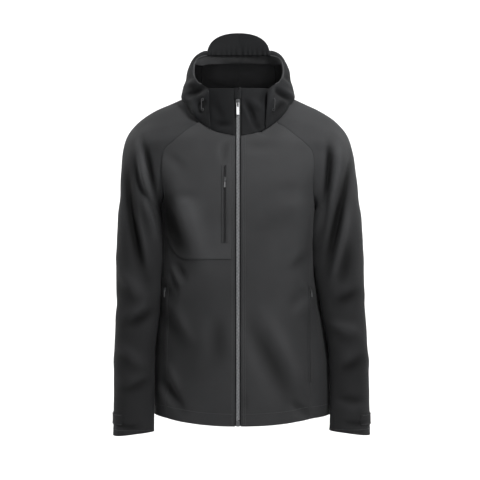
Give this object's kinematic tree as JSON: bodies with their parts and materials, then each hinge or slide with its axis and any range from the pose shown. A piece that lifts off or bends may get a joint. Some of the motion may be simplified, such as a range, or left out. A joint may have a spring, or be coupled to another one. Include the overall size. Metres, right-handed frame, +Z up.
{
  "type": "softshell jacket",
  "caption": "Dark hooded softshell jacket with raglan sleeves, a full front zip, a chest pocket overlay and a hood peak flipped up, filled out as worn.",
  "frame": {"origin": "centre of the neck hollow, level with the side neck, where the wearer's shoulders hold it up", "axes": "+Z up, +X towards the wearer's left, the front faces -Y"},
  "size_m": [0.5517, 0.2995, 0.8745],
  "materials": {
    "shell": "bonded softshell, fine plain weave, dull sheen",
    "sleeve": "the same softshell, in shade on the arms",
    "lining": "dark brushed inner face",
    "tape": "woven zip tape",
    "cord": "braided cord",
    "zip": "moulded grey teeth",
    "slider": "dark grey satin",
    "pull": "pale satin"
  },
  "bodies": {
    "jacket": {"back": "shell", "chest_panel": "shell", "chest_slider": "slider", "chest_welt_inner": "shell", "chest_welt_outer": "shell", "chest_zip": "zip", "collar_left": "shell", "collar_right": "shell", "cuff_tab_left": "sleeve", "cuff_tab_right": "sleeve", "eyelet_left_lower": "slider", "eyelet_left_upper": "slider", "eyelet_right_lower": "slider", "eyelet_right_upper": "slider", "front_left": "shell", "front_right": "shell", "hand_left_slider": "slider", "hand_right_slider": "slider", "hand_zip_left": "tape", "hand_zip_right": "tape", "hood_centre": "shell", "hood_cord_left": "cord", "hood_cord_right": "cord", "hood_facing": "lining", "hood_left": "shell", "hood_peak": "shell", "hood_right": "shell", "side_left": "shell", "side_right": "shell", "sleeve_left": "sleeve", "sleeve_right": "sleeve", "zip_box": "slider", "zip_chain": "zip", "zip_garage": "shell", "zip_slider": "slider", "zip_tape_left": "tape", "zip_tape_right": "tape"},
    "zip_pull": {"zip_pull": "pull"},
    "chest_pull": {"chest_pull": "pull"},
    "hand_right_pull": {"hand_right_pull": "pull"},
    "hand_left_pull": {"hand_left_pull": "pull"}
  },
  "joints": [
    {"name": "zip_pull_swing", "type": "hinge", "parent": "jacket", "child": "zip_pull", "pos_m": [0, -0.1142, -0.01773], "axis": [-1, 0, 0], "range_deg": [0, 150]},
    {"name": "chest_pull_swing", "type": "hinge", "parent": "jacket", "child": "chest_pull", "pos_m": [-0.02727, -0.1411, -0.17898], "axis": [-0.999, 0.0457, 0], "range_deg": [0, 150]},
    {"name": "hand_right_pull_swing", "type": "hinge", "parent": "jacket", "child": "hand_right_pull", "pos_m": [-0.156, -0.07924, -0.41131], "axis": [-0.5352, 0.8447, 0], "range_deg": [0, 150]},
    {"name": "hand_left_pull_swing", "type": "hinge", "parent": "jacket", "child": "hand_left_pull", "pos_m": [0.15565, -0.08374, -0.41101], "axis": [-0.577, -0.8167, 0], "range_deg": [0, 150]}
  ]
}
